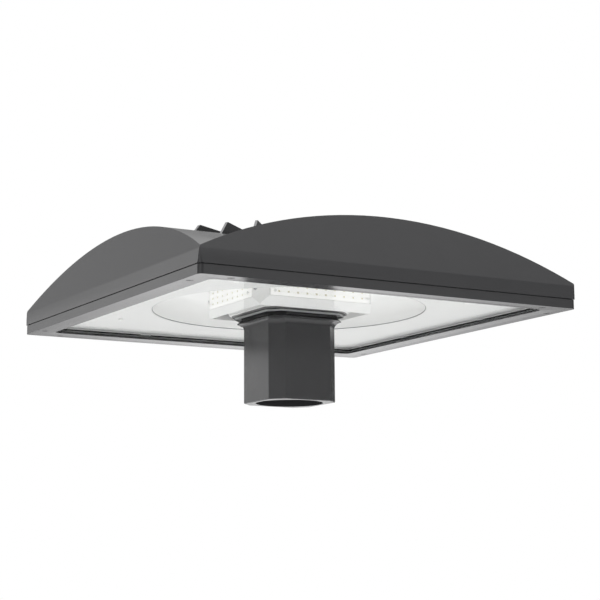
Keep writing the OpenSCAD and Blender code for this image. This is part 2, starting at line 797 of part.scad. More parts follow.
// A lead from a driver's inner end, over the flange's edge and down to the board's back
module lead(side_y) {
    lead_d = 4;
    start_x = driver_x - driver_l / 2 + 8;
    start_z = gear_z + 14;
    down_x = flange_hole_r - 10;
    top_bend = 12;
    end_x = hub_x - hub_wall;
    end_z = hub_z + 14;
    low_bend = 9;
    translate([0, side_y, 0]) {
        translate([down_x + top_bend, 0, start_z]) rotate([0, 90, 0])
            cylinder(d = lead_d, h = start_x - down_x - top_bend, $fn = 24);
        translate([down_x + top_bend, 0, start_z - top_bend]) elbow(90, top_bend, lead_d);
        translate([down_x, 0, end_z + low_bend])
            cylinder(d = lead_d, h = start_z - top_bend - end_z - low_bend, $fn = 24);
        translate([down_x + low_bend, 0, end_z + low_bend]) elbow(180, low_bend, lead_d);
        translate([down_x + low_bend, 0, end_z]) rotate([0, 90, 0])
            cylinder(d = lead_d, h = end_x - down_x - low_bend, $fn = 24);
    }
}

module led_leads() {
    color(lead_white) for (turn = [0, 180], s = [-1, 1]) rotate([0, 0, turn])
        lead(s * lead_y);
}

module wire_grommet() {
    hole = wire_way / 2;
    color(rubber) rotate_extrude() polygon([[hole - 3, foot_z + 1], [hole - run_gap, foot_z + 1],
        [hole - run_gap, hub_z + hub_wall], [hole + 3, hub_z + hub_wall],
        [hole + 2, hub_z + hub_wall + 2], [hole - 3, hub_z + hub_wall + 2]]);
}

top_housing();
lens_frame();
lens_glass();
glass_gasket();
glass_clips();
clip_screws();
frame_screws();
frame_gasket();
pole_fitter();
set_screw(0, set_screw_z);  // set_screw_1
set_screw(0, set_screw_z + set_screw_gap);  // set_screw_2
set_screw(90, set_screw_z);  // set_screw_3
set_screw(90, set_screw_z + set_screw_gap);  // set_screw_4
hub_gasket();
led_hub();
led_board(FRONT);  // led_board_front
led_board(BACK);  // led_board_back
led_board(LEFT);  // led_board_left
led_board(RIGHT);  // led_board_right
led_optic(FRONT);  // led_optic_front
led_optic(BACK);  // led_optic_back
led_optic(LEFT);  // led_optic_left
led_optic(RIGHT);  // led_optic_right
led_chips();
optic_screws();
corner_reflectors();
corner_screws();
skirt_reflector();
reflector_pan();
reflector_dish();
pan_screws();
dish_screws();
gear_tray();
tray_screws();
driver(180);  // driver_left
driver(0);  // driver_right
driver_screws();
surge_protector();
terminal_block();
ground_screw();
fitter_bolts();
led_leads();
wire_grommet();
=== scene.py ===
"""The looks of a square post-top area light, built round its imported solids.

Every sub-assembly is a class: its sizes are fields, and its methods make the meshes and dress them.
All lengths are in metres, in the frame of the solids: +Z up, the origin at the mouth of the fitter.
"""

import sys

import logging
import math
from dataclasses import dataclass
from enum import Enum
from typing import Callable, Iterable

import bpy
from mathutils import Matrix, Vector


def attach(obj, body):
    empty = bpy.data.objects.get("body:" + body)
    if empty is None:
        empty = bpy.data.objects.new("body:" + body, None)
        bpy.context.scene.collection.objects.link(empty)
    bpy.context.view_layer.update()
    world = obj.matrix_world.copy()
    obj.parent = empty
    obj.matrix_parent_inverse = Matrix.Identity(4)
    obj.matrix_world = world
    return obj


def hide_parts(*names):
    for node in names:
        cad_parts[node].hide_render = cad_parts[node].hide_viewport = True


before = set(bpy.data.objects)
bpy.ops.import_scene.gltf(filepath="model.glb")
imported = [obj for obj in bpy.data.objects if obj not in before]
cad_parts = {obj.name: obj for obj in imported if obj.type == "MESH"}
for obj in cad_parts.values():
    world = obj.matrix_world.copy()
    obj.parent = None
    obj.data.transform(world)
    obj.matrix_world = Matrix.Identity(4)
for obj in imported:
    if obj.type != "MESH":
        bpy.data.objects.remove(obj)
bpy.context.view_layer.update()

log = logging.getLogger("area_light")
MM = 0.001
Colour = tuple[float, float, float]
Point = tuple[float, float, float]
FaceTest = Callable[[bpy.types.MeshPolygon], bool]
NEAR = 0.001 * MM
WHITE = (1.0, 1.0, 1.0, 1.0)


# ---------- working by hand: selecting, shaping, finishing ----------


def take(*pieces: bpy.types.Object) -> None:
    """Selects these pieces alone and makes the first one active.

    Args:
        pieces: the objects to select.
    """
    bpy.ops.object.select_all(action="DESELECT")
    for piece in pieces:
        piece.select_set(True)
    bpy.context.view_layer.objects.active = pieces[0]


def edit(piece: bpy.types.Object, mode: str = "FACE") -> None:
    """Opens a piece in edit mode with nothing selected.

    Args:
        piece: the object to edit.
        mode: VERT, EDGE or FACE.
    """
    take(piece)
    bpy.ops.object.mode_set(mode="EDIT")
    bpy.ops.mesh.select_mode(type=mode)
    bpy.ops.mesh.select_all(action="DESELECT")
    bpy.ops.object.mode_set(mode="OBJECT")


def pick_faces(piece: bpy.types.Object, test: FaceTest) -> None:
    """Selects the faces that pass a test, and opens edit mode.

    Args:
        piece: the object whose faces are picked.
        test: says of a face whether it is picked.
    """
    edit(piece, "FACE")
    for face in piece.data.polygons:
        face.select = bool(test(face))
    bpy.ops.object.mode_set(mode="EDIT")


def mark_faces(piece: bpy.types.Object, test: FaceTest, *finishes: bpy.types.Material) -> None:
    """Marks the faces that pass a test for the second finish of a piece without materials.

    Args:
        piece: the object whose faces are marked.
        test: says of a face whether it gets the second finish.
        finishes: both finishes, where copies are joined before the whole is dressed.
    """
    for finish in finishes or (None, None):
        piece.data.materials.append(finish)
    for face in piece.data.polygons:
        face.material_index = int(test(face))


def leave_edit() -> None:
    """Goes back to object mode."""
    bpy.ops.object.mode_set(mode="OBJECT")


def finish_with(piece: bpy.types.Object, kind: str, **settings: object) -> None:
    """Adds a modifier with these settings and applies it.

    Args:
        piece: the object that gets it.
        kind: the modifier's type.
        settings: its properties.
    """
    take(piece)
    modifier = piece.modifiers.new(kind.lower(), kind)
    for key, value in settings.items():
        setattr(modifier, key, value)
    bpy.ops.object.modifier_apply(modifier=modifier.name)


def soften(piece: bpy.types.Object, width: float, segments: int = 2, angle: float = 32.0) -> None:
    """Rounds a piece's sharp edges and evens its shading.

    Args:
        piece: the object.
        width: the width of the rounding.
        segments: how many strips it has.
        angle: the least angle of an edge, in degrees, that counts as sharp.
    """
    finish_with(piece, "BEVEL", width=width, segments=segments, limit_method="ANGLE",
                angle_limit=math.radians(angle), miter_outer="MITER_ARC", use_clamp_overlap=True)
    smooth(piece)


def smooth(piece: bpy.types.Object, angle: float = 38.0) -> None:
    """Shades a piece smooth up to an angle, with flat faces kept flat.

    Args:
        piece: the object.
        angle: the angle in degrees.
    """
    take(piece)
    bpy.ops.object.shade_smooth_by_angle(angle=math.radians(angle))
    finish_with(piece, "WEIGHTED_NORMAL", keep_sharp=True, weight=50)


def from_node(node: str, name: str) -> bpy.types.Object:
    """Copies a CAD node's mesh and joins its loose triangles, ready for softer edges.

    Args:
        node: the CAD node.
        name: the new piece's name.

    Returns:
        The new piece.
    """
    piece = bpy.data.objects.new(name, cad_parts[node].data.copy())
    bpy.context.scene.collection.objects.link(piece)
    piece.data.materials.clear()
    edit(piece, "VERT")
    bpy.ops.object.mode_set(mode="EDIT")
    bpy.ops.mesh.select_all(action="SELECT")
    bpy.ops.mesh.remove_doubles(threshold=0.004 * MM)
    bpy.ops.mesh.dissolve_limited(angle_limit=math.radians(0.4))
    leave_edit()
    return piece


def joined(pieces: list[bpy.types.Object], name: str) -> bpy.types.Object:
    """Makes one object of several, which keep their own meshes inside it.

    Args:
        pieces: the objects.
        name: the name of the whole.

    Returns:
        The joined object.
    """
    take(*pieces)
    if len(pieces) > 1:
        bpy.ops.object.join()
    whole = bpy.context.view_layer.objects.active
    whole.name = name
    whole.data.name = name
    return whole


def set_down(piece: bpy.types.Object, place: Matrix) -> bpy.types.Object:
    """Copies a piece with its own mesh to a place, which goes into the mesh.

    Args:
        piece: the object at the origin.
        place: where the copy goes.

    Returns:
        The copy.
    """
    copy = bpy.data.objects.new(piece.name, piece.data.copy())
    bpy.context.scene.collection.objects.link(copy)
    copy.data.transform(place)
    return copy


def repeated(piece: bpy.types.Object, places: Iterable[Matrix], name: str) -> bpy.types.Object:
    """Copies a piece to many places and joins the copies; the first one is used up.

    Args:
        piece: the object at the origin.
        places: where the copies go.
        name: the name of the whole.

    Returns:
        The joined object.
    """
    copies = [set_down(piece, place) for place in places]
    bpy.data.objects.remove(piece)
    return joined(copies, name)


def place(x: float, y: float, z: float, turn: float = 0.0, tilt: float = 0.0) -> Matrix:
    """A place for a copy: tilted about its Y axis, moved, then turned about the light's axis.

    Args:
        x: how far out it is.
        y: how far along.
        z: how high.
        turn: the turn about the light's axis, in degrees.
        tilt: the tilt about the piece's own Y axis, in degrees.

    Returns:
        The matrix.
    """
    return (Matrix.Rotation(math.radians(turn), 4, "Z") @ Matrix.Translation((x, y, z))
            @ Matrix.Rotation(math.radians(tilt), 4, "Y"))


def drop_place(piece: bpy.types.Object) -> None:
    """Puts an object's place into its mesh, so that the object sits at the origin."""
    take(piece)
    bpy.ops.object.transform_apply(location=True, rotation=True, scale=True)


def add_shape(kind: str, **settings: object) -> bpy.types.Object:
    """Adds one of Blender's own mesh shapes, its place in its mesh.

    Args:
        kind: the shape, such as cylinder.
        settings: its sizes and its place.

    Returns:
        The new piece.
    """
    bpy.ops.object.select_all(action="DESELECT")
    getattr(bpy.ops.mesh, f"primitive_{kind}_add")(**settings)
    piece = bpy.context.object
    drop_place(piece)
    return piece


def cut_thread(piece: bpy.types.Object, heights: Iterable[float], root: float) -> None:
    """Cuts rings round an upright shank and draws every second one in.

    Args:
        piece: the shank.
        heights: where the rings go.
        root: how wide the thread's root is, as a share of the shank.
    """
    for number, height in enumerate(heights):
        edit(piece, "EDGE")
        bpy.ops.object.mode_set(mode="EDIT")
        bpy.ops.mesh.select_all(action="SELECT")
        bpy.ops.mesh.bisect(plane_co=(0, 0, height), plane_no=(0, 0, 1))
        if number % 2:
            bpy.ops.transform.resize(value=(root, root, 1))
        leave_edit()


def cut_away(piece: bpy.types.Object, tool: bpy.types.Object) -> None:
    """Cuts a tool's shape out of a piece; the tool is used up.

    Args:
        piece: the object that is cut.
        tool: the shape to take away.
    """
    finish_with(piece, "BOOLEAN", object=tool, operation="DIFFERENCE", solver="EXACT")
    bpy.data.objects.remove(tool)


# ---------- finishes ----------


class Grain(Enum):
    """The small texture of a surface."""

    POWDER = "powder coat on a casting"
    SHEET = "paint on flat sheet"
    RUBBER = "moulded rubber"
    MOULDED = "moulded plastic"
    BRUSHED = "bare metal with fine lines"


class ShaderTree:
    """A node tree that is filled by hand-sized steps."""

    def __init__(self, tree: bpy.types.NodeTree) -> None:
        """Starts from an empty tree."""
        self.tree = tree
        tree.nodes.clear()

    def add(self, kind: str, **values: object) -> bpy.types.Node:
        """Adds a node, sets its properties and fills its sockets.

        Args:
            kind: the node's type.
            values: properties by name, and sockets by name with spaces as underscores.

        Returns:
            The node.
        """
        node = self.tree.nodes.new(kind)
        for key, value in values.items():
            if hasattr(node, key) and not isinstance(value, bpy.types.NodeSocket):
                setattr(node, key, value)
                continue
            socket = self.socket(node, key.replace("_", " "))
            if isinstance(value, bpy.types.NodeSocket):
                self.tree.links.new(value, socket)
            else:
                socket.default_value = value
        return node

    @staticmethod
    def socket(node: bpy.types.Node, name: str) -> bpy.types.NodeSocket:
        """The enabled input of a node with this name, or with this number after 'n'."""
        if name[0] == "n" and name[1:].isdigit():
            return node.inputs[int(name[1:])]
        return next(s for s in node.inputs if s.name.lower() == name.lower() and s.enabled)

    def out(self, node: bpy.types.Node, name: str = "") -> bpy.types.NodeSocket:
        """The enabled output of a node with this name, or the first one."""
        return next(s for s in node.outputs if s.enabled and name in ("", s.name))

    def math(self, operation: str, a: object, b: object = 0.0, c: object = 0.0) -> bpy.types.NodeSocket:
        """Adds a Math node.

        Args:
            operation: its operation.
            a: the first socket or number.
            b: the second.
            c: the third.

        Returns:
            Its result.
        """
        return self.add("ShaderNodeMath", operation=operation, n0=a, n1=b, n2=c).outputs[0]

    def noise(self, where: bpy.types.NodeSocket, scale: object, detail: float = 2.0,
              rough: float = 0.5) -> bpy.types.NodeSocket:
        """Adds a Noise texture.

        Args:
            where: the coordinates.
            scale: its scale per metre.
            detail: its octaves.
            rough: how strong the finer octaves are.

        Returns:
            Its value.
        """
        node = self.add("ShaderNodeTexNoise", Vector=where, Scale=scale, Detail=detail, Roughness=rough)
        return node.outputs["Fac"]

    def ramp(self, value: bpy.types.NodeSocket, low: float, high: float) -> bpy.types.NodeSocket:
        """Maps a value between two limits onto 0 to 1, clamped.

        Args:
            value: the value.
            low: the lower limit.
            high: the upper limit.

        Returns:
            The mapped value.
        """
        return self.add("ShaderNodeMapRange", n0=value, n1=low, n2=high, n3=0.0, n4=1.0).outputs[0]

    def blend(self, share: object, a: object, b: object) -> bpy.types.NodeSocket:
        """Mixes two colours.

        Args:
            share: how much of the second.
            a: the first colour.
            b: the second colour.

        Returns:
            The mixed colour.
        """
        node = self.add("ShaderNodeMix", data_type="RGBA")
        for socket, value in ((node.inputs[0], share), (node.inputs[6], a), (node.inputs[7], b)):
            if isinstance(value, bpy.types.NodeSocket):
                self.tree.links.new(value, socket)
            else:
                socket.default_value = value
        return node.outputs[2]


def shader_group(name: str, inputs: dict[str, tuple[str, object]],
                 outputs: dict[str, str]) -> tuple[bpy.types.NodeTree, ShaderTree,
                                                   bpy.types.Node, bpy.types.Node]:
    """Starts a shader node group.

    Args:
        name: its name.
        inputs: by name, the socket type and first value.
        outputs: by name, the socket type.

    Returns:
        The group, its tree to fill, its input node and its output node.
    """
    group = bpy.data.node_groups.new(name, "ShaderNodeTree")
    for label, (kind, value) in inputs.items():
        socket = group.interface.new_socket(name=label, in_out="INPUT", socket_type=kind)
        socket.default_value = value
    for label, kind in outputs.items():
        group.interface.new_socket(name=label, in_out="OUTPUT", socket_type=kind)
    tree = ShaderTree(group)
    return group, tree, tree.add("NodeGroupInput"), tree.add("NodeGroupOutput")


def start_material(name: str) -> tuple[bpy.types.Material, ShaderTree, bpy.types.Node]:
    """Starts a material.

    Args:
        name: its name.

    Returns:
        The material, its tree to fill and its coordinates.
    """
    material = bpy.data.materials.new(name)
    material.use_nodes = True
    tree = ShaderTree(material.node_tree)
    return material, tree, tree.add("ShaderNodeTexCoord")


COLOUR, VALUE, VECTOR = "NodeSocketColor", "NodeSocketFloat", "NodeSocketVector"
SURFACE_OUT = {"Color": COLOUR, "Roughness": VALUE, "Height": VALUE}
SURFACE_IN = {"Vector": (VECTOR, (0, 0, 0)), "Color": (COLOUR, (0.5, 0.5, 0.5, 1)),
              "Roughness": (VALUE, 0.4), "Scale": (VALUE, 900.0), "Mottle": (VALUE, 0.04),
              "Spread": (VALUE, 0.05)}


def end_skin(tree: ShaderTree, given: bpy.types.Node, result: bpy.types.Node,
             *by: bpy.types.NodeSocket) -> None:
    """Ends a skin group: the tone varies by the mottle, the gloss by the spread.

    Args:
        tree: the group's tree.
        given: its input node.
        result: its output node.
        by: the patterns of the tone, of the gloss and of the bumps.
    """
    tone, gloss, height = by
    shade = tree.math("MULTIPLY_ADD", tree.math("SUBTRACT", tone, 0.5),
                      tree.math("MULTIPLY", given.outputs["Mottle"], 2.0), 1.0)
    tint = tree.add("ShaderNodeVectorMath", operation="SCALE", n0=given.outputs["Color"], Scale=shade)
    rough = tree.math("MULTIPLY_ADD", tree.math("SUBTRACT", gloss, 0.5),
                      tree.math("MULTIPLY", given.outputs["Spread"], 2.0), given.outputs["Roughness"])
    for source, target in ((tint.outputs[0], "Color"), (rough, "Roughness"), (height, "Height")):
        tree.tree.links.new(source, result.inputs[target])


def coated_group() -> bpy.types.NodeTree:
    """The group for paint, powder and mouldings: a fine skin of bumps with faint clouds and specks.

    Returns:
        The group.
    """
    group, tree, given, result = shader_group("coated_skin", SURFACE_IN, SURFACE_OUT)
    where, scale = given.outputs["Vector"], given.outputs["Scale"]
    skin = tree.noise(where, scale, 2.0, 0.55)
    cloud = tree.noise(where, 9.0, 3.0, 0.6)
    speck = tree.ramp(tree.noise(where, tree.math("MULTIPLY", scale, 1.7), 1.0), 0.66, 0.74)
    level = tree.math("SUBTRACT", tree.math("MULTIPLY_ADD", cloud, 1.4, -0.2),
                      tree.math("MULTIPLY", speck, 0.6))
    end_skin(tree, given, result, level, cloud, skin)
    return group


def brushed_group() -> bpy.types.NodeTree:
    """The group for bare metal: fine lines drawn along X, with faint clouds.

    Returns:
        The group.
    """
    group, tree, given, result = shader_group("brushed_skin", SURFACE_IN, SURFACE_OUT)
    drawn = tree.add("ShaderNodeMapping", Vector=given.outputs["Vector"])
    drawn.inputs["Scale"].default_value = (0.04, 1.0, 1.0)
    lines = tree.noise(drawn.outputs[0], given.outputs["Scale"], 3.0, 0.6)
    cloud = tree.noise(given.outputs["Vector"], 30.0, 2.0)
    mixed = tree.math("MULTIPLY_ADD", cloud, 0.5, tree.math("MULTIPLY", lines, 0.5))
    end_skin(tree, given, result, mixed, mixed, lines)
    return group


def dust_group() -> bpy.types.NodeTree:
    """The group for a thin film of dust on faces that look up.

    Returns:
        The group.
    """
    group, tree, given, result = shader_group(
        "settled_dust", {"Vector": (VECTOR, (0, 0, 0)), "Normal": (VECTOR, (0, 0, 1)),
                         "Color": (COLOUR, (0.5, 0.5, 0.5, 1)), "Roughness": (VALUE, 0.4),
                         "Dust Color": (COLOUR, (0.4, 0.38, 0.35, 1)), "Amount": (VALUE, 0.1)},
        {"Color": COLOUR, "Roughness": VALUE})
    up = tree.add("ShaderNodeSeparateXYZ", Vector=given.outputs["Normal"]).outputs[2]
    facing = tree.ramp(up, 0.35, 0.95)
    cloud = tree.ramp(tree.noise(given.outputs["Vector"], 24.0, 4.0, 0.65), 0.3, 0.75)
    share = tree.math("MULTIPLY", tree.math("MULTIPLY", facing, cloud), given.outputs["Amount"])
    colour = tree.blend(share, given.outputs["Color"], given.outputs["Dust Color"])
    rough = tree.math("ADD", given.outputs["Roughness"], tree.math("MULTIPLY", share, 0.5))
    tree.tree.links.new(colour, result.inputs["Color"])
    tree.tree.links.new(rough, result.inputs["Roughness"])
    return group


@dataclass(frozen=True)
class Finish:
    """An opaque finish: its colour, gloss and the grain that breaks them up."""

    name: str
    colour: Colour
    roughness: float
    grain: Grain
    scale: float = 900.0
    bump: float = 0.03
    depth: float = 0.1 * MM
    mottle: float = 0.04
    spread: float = 0.04
    metallic: float = 0.0
    ior: float = 1.5
    dust: float = 0.0

    def build(self, groups: dict[str, bpy.types.NodeTree]) -> bpy.types.Material:
        """Makes the material.

        Args:
            groups: the shared node groups.

        Returns:
            The material.
        """
        material, tree, where = start_material(self.name)
        kind = "brushed" if self.grain is Grain.BRUSHED else "coated"
        skin = tree.add("ShaderNodeGroup", node_tree=groups[kind], Vector=where.outputs["Object"],
                        Color=(*self.colour, 1), Roughness=self.roughness, Scale=self.scale,
                        Mottle=self.mottle, Spread=self.spread)
        colour, rough = skin.outputs["Color"], skin.outputs["Roughness"]
        if self.dust:
            film = tree.add("ShaderNodeGroup", node_tree=groups["dust"], Vector=where.outputs["Object"],
                            Normal=where.outputs["Normal"], Color=colour, Roughness=rough,
                            Amount=self.dust)
            colour, rough = film.outputs["Color"], film.outputs["Roughness"]
        bump = tree.add("ShaderNodeBump", Strength=self.bump, Distance=self.depth,
                        Height=skin.outputs["Height"])
        shader = tree.add("ShaderNodeBsdfPrincipled", Base_Color=colour, Roughness=rough,
                          Normal=bump.outputs[0], Metallic=self.metallic, IOR=self.ior)
        tree.add("ShaderNodeOutputMaterial", Surface=shader.outputs[0])
        return material


@dataclass(frozen=True)
class ClearFinish:
    """A clear finish, which lets the light of the lamps through."""

    name: str
    colour: Colour
    roughness: float
    ior: float
    scale: float = 60.0
    bump: float = 0.02
    depth: float = 0.02 * MM
    unevenness: float = 0.004
    coat: float = 0.0

    def build(self, groups: dict[str, bpy.types.NodeTree]) -> bpy.types.Material:
        """Makes the material.

        Args:
            groups: the shared node groups.

        Returns:
            The material.
        """
        material, tree, where = start_material(self.name)
        skin = tree.add("ShaderNodeGroup", node_tree=groups["coated"], Vector=where.outputs["Object"],
                        Color=(*self.colour, 1), Roughness=self.roughness, Scale=self.scale,
                        Mottle=self.unevenness, Spread=self.unevenness)
        bump = tree.add("ShaderNodeBump", Strength=self.bump, Distance=self.depth,
                        Height=skin.outputs["Height"])
        shader = tree.add("ShaderNodeBsdfPrincipled", Base_Color=skin.outputs["Color"],
                          Roughness=skin.outputs["Roughness"], Normal=bump.outputs[0],
                          Transmission_Weight=1.0, IOR=self.ior, Coat_Weight=self.coat)
        clear = tree.add("ShaderNodeBsdfTransparent", Color=(*self.colour, 1))
        path = tree.add("ShaderNodeLightPath")
        mix = tree.add("ShaderNodeMixShader", n0=path.outputs["Is Shadow Ray"], n1=shader.outputs[0],
                       n2=clear.outputs[0])
        tree.add("ShaderNodeOutputMaterial", Surface=mix.outputs[0])
        return material


@dataclass(frozen=True)
class BoardFinish:
    """A white board mask with faint copper paths and pads under it, and a painted glow that brightens the
    unlit board.
    """

    name: str = "white_board"
    colour: Colour = (0.93, 0.93, 0.92)
    path_colour: Colour = (0.88, 0.88, 0.86)
    # painted light: the board is no lamp, this emission only brightens it
    glow: float = 0.25
    roughness: float = 0.3
    scale: float = 1500.0
    bump: float = 0.2
    depth: float = 0.05 * MM
    mottle: float = 0.02
    spread: float = 0.03
    pitch: float = 16 * MM
    row: float = 8.5 * MM
    middle: float = 161.9 * MM
    path_rise: float = 3.0

    def build(self, groups: dict[str, bpy.types.NodeTree]) -> bpy.types.Material:
        """Makes the material.

        Args:
            groups: the shared node groups.

        Returns:
            The material.
        """
        material, tree, coordinates = start_material(self.name)
        where = coordinates.outputs["Object"]
        split = tree.add("ShaderNodeSeparateXYZ", Vector=where).outputs
        height = tree.math("DIVIDE", tree.math("SUBTRACT", split[2], self.middle), self.row)
        lane = tree.math("ABSOLUTE", tree.math("SUBTRACT", tree.math("FRACT", height), 0.5))
        paths = tree.ramp(lane, 0.30, 0.34)
        cells = [tree.math("ABSOLUTE", tree.math("SUBTRACT", tree.math("FRACT", tree.math(
            "DIVIDE", axis, self.pitch)), 0.5)) for axis in (split[0], split[1])]
        gaps = tree.math("MINIMUM", tree.ramp(cells[0], 0.03, 0.05), tree.ramp(cells[1], 0.03, 0.05))
        copper = tree.math("MULTIPLY", paths, gaps)
        mixed = tree.blend(copper, (*self.colour, 1), (*self.path_colour, 1))
        skin = tree.add("ShaderNodeGroup", node_tree=groups["coated"], Vector=where, Color=mixed,
                        Roughness=self.roughness, Scale=self.scale, Mottle=self.mottle, Spread=self.spread)
        raised = tree.math("MULTIPLY_ADD", copper, self.path_rise, skin.outputs["Height"])
        bump = tree.add("ShaderNodeBump", Strength=self.bump, Distance=self.depth, Height=raised)
        # painted light: emission that makes the unlit board read brighter
        shader = tree.add("ShaderNodeBsdfPrincipled", Base_Color=skin.outputs["Color"],
                          Roughness=skin.outputs["Roughness"], Normal=bump.outputs[0],
                          Emission_Color=WHITE, Emission_Strength=self.glow)
        tree.add("ShaderNodeOutputMaterial", Surface=shader.outputs[0])
        return material


FINISHES = (
    Finish("graphite_coat", (0.036, 0.036, 0.038), 0.24, Grain.POWDER, 620.0, 0.10, 0.12 * MM, 0.05, 0.03,
           dust=0.03),
    ClearFinish("clear_glass", (0.985, 0.99, 0.985), 0.0, 1.0, coat=0.12),
    Finish("black_rubber", (0.05, 0.05, 0.051), 0.35, Grain.RUBBER, 1800.0, 0.2, 0.05 * MM, 0.1, 0.06),
    # painted light: the black rubber made lighter for the hub gasket's side faces
    Finish("rubber_painted_light", (0.12, 0.12, 0.122), 0.32, Grain.RUBBER, 1800.0, 0.12, 0.05 * MM, 0.08, 0.05),
    Finish("ground_edge", (0.40, 0.41, 0.41), 0.55, Grain.SHEET, 900.0, 0.05, 0.03 * MM, 0.04, 0.05),
    Finish("plated_sheet", (0.62, 0.63, 0.65), 0.34, Grain.BRUSHED, 900.0, 0.05, 0.03 * MM, 0.05, 0.08,
           metallic=1.0),
    Finish("screw_steel", (0.56, 0.56, 0.57), 0.27, Grain.BRUSHED, 2600.0, 0.06, 0.02 * MM, 0.06, 0.08,
           metallic=1.0),
    Finish("white_cast", (0.80, 0.80, 0.79), 0.62, Grain.POWDER, 700.0, 0.12, 0.12 * MM, 0.02, 0.04),
    Finish("white_sheet", (0.86, 0.86, 0.855), 0.6, Grain.SHEET, 300.0, 0.05, 0.08 * MM, 0.012, 0.03,
           ior=1.16),
    # painted shade: the white sheet made darker for the pan's downward faces
    Finish("pan_painted_shade", (0.69, 0.69, 0.687), 0.6, Grain.SHEET, 300.0, 0.05, 0.08 * MM, 0.012, 0.03,
           ior=1.16),
    BoardFinish(),
    ClearFinish("clear_lens", (0.985, 0.985, 0.98), 0.0, 1.0, 400.0, 0.02, coat=0.3),
    Finish("led_yellow", (0.80, 0.74, 0.52), 0.4, Grain.MOULDED, 3000.0, 0.05, 0.02 * MM, 0.08, 0.04),
    Finish("led_body", (0.83, 0.82, 0.78), 0.4, Grain.MOULDED, 2500.0, 0.04, 0.02 * MM, 0.03, 0.04),
    Finish("driver_case", (0.60, 0.60, 0.58), 0.48, Grain.MOULDED, 1200.0, 0.12, 0.06 * MM, 0.03, 0.05),
    Finish("black_plastic", (0.02, 0.02, 0.022), 0.42, Grain.MOULDED, 1400.0, 0.15, 0.05 * MM, 0.08, 0.05),
    Finish("cream_plastic", (0.62, 0.57, 0.45), 0.45, Grain.MOULDED, 1400.0, 0.1, 0.05 * MM, 0.04, 0.05),
    Finish("green_screw", (0.03, 0.22, 0.07), 0.33, Grain.BRUSHED, 2200.0, 0.05, 0.02 * MM, 0.06, 0.06,
           metallic=0.6),
    Finish("lead_white", (0.78, 0.77, 0.74), 0.4, Grain.MOULDED, 1600.0, 0.08, 0.04 * MM, 0.03, 0.04),
)


class FinishBook:
    """All materials of the light, by slot."""

    def __init__(self) -> None:
        """Builds the shared groups and every finish once."""
        groups = {"coated": coated_group(), "brushed": brushed_group(), "dust": dust_group()}
        self.materials = {finish.name: finish.build(groups) for finish in FINISHES}

    def dress(self, piece: bpy.types.Object, body: str, slot: str, *nodes: str,
              extra: tuple[str, ...] = ()) -> bpy.types.Object:
        """Gives a new piece its material, its body and the nodes that it stands for.

        Args:
            piece: the piece.
            body: the body that it rides on.
            slot: the record's slot of its finish.
            nodes: the CAD nodes that it replaces.
            extra: further finishes, for faces with their own material number.

        Returns:
            The piece.
        """
        marks = [part.material_index for part in piece.data.polygons] if extra else []
        piece.data.materials.clear()
        for name in (slot, *extra):
            piece.data.materials.append(self.materials[name])
        if marks:
            piece.data.polygons.foreach_set("material_index", marks)
        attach(piece, body)
        if nodes:
            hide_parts(*nodes)
        log.info("%s rides on %s in %s, %d faces", piece.name, body, slot, len(piece.data.polygons))
        return piece


# ---------- screws ----------


class Drive(Enum):
    """How a screw is turned: the recess's corners, and its radius as a share of the head's width."""

    HEX = (6, 0.30)
    STAR = (12, 0.27)


@dataclass
class CapScrew:
    """A cap screw along +Z: the head's underside at z = 0, the shank above it, the drive below."""

    shank: float
    length: float
    head: float
    height: float
    drive: Drive = Drive.HEX
    pitch: float = 0.0
    sink: float = 0.55
    rim_high: float = 0.28
    rim_wide: float = 0.12
    star_waist: float = 0.74
    tip: float = 0.25
    threaded: float = 0.6
    run_out: float = 0.98
    root: float = 0.86

    def make(self, name: str) -> bpy.types.Object:
        """Models the screw at the origin.

        Args:
            name: its name.

        Returns:
            The screw.
        """
        piece = add_shape("cylinder", vertices=48, radius=self.head / 2, depth=self.height,
                          location=(0, 0, -self.height / 2))
        self.round_rim(piece)
        self.sink_drive(piece)
        if self.length > 0:
            piece = joined([piece, self.thread()], name)
        piece.name = name
        smooth(piece)
        return piece

    def round_rim(self, piece: bpy.types.Object) -> None:
        """Rounds the outer rim of the head.

        Args:
            piece: the head.
        """
        pick_faces(piece, lambda f: f.normal.z < -0.9 and f.center.z < NEAR - self.height)
        bpy.ops.mesh.bevel(offset=min(self.rim_high * self.height, self.rim_wide * self.head), segments=3,
                           affect="EDGES")
        leave_edit()

    def sink_drive(self, piece: bpy.types.Object) -> None:
        """Cuts the drive into the head's outer face.

        Args:
            piece: the head.
        """
        corners, reach = self.drive.value
        tool = add_shape("cylinder", vertices=corners, radius=self.head * reach,
                         depth=2 * self.sink * self.height, location=(0, 0, -self.height))
        if self.drive is Drive.STAR:
            edit(tool, "VERT")
            for vertex in tool.data.vertices:
                vertex.select = round(math.degrees(math.atan2(vertex.co.y, vertex.co.x)) / 30) % 2 == 0
            bpy.ops.object.mode_set(mode="EDIT")
            bpy.ops.transform.resize(value=(self.star_waist, self.star_waist, 1))
            leave_edit()
        cut_away(piece, tool)

    def thread(self) -> bpy.types.Object:
        """Models the shank, with rings for its thread where it has a pitch.

        Returns:
            The shank.
        """
        radius = self.shank / 2
        shank = add_shape("cylinder", vertices=32, radius=radius, depth=self.length,
                          location=(0, 0, self.length / 2))
        pick_faces(shank, lambda f: f.normal.z > 0.9)
        bpy.ops.mesh.bevel(offset=radius * self.tip, segments=1, affect="EDGES")
        leave_edit()
        if self.pitch > 0:
            rings = 2 * int(self.length * self.threaded / self.pitch)
            top = self.length * self.run_out - radius * self.tip
            cut_thread(shank, [top - number * self.pitch / 2 for number in range(rings)], self.root)
        return shank


def is_head(face: bpy.types.MeshPolygon) -> bool:
    """Whether a face of a screw at the origin belongs to its head."""
    return face.center.z < -NEAR


# ---------- housing ----------


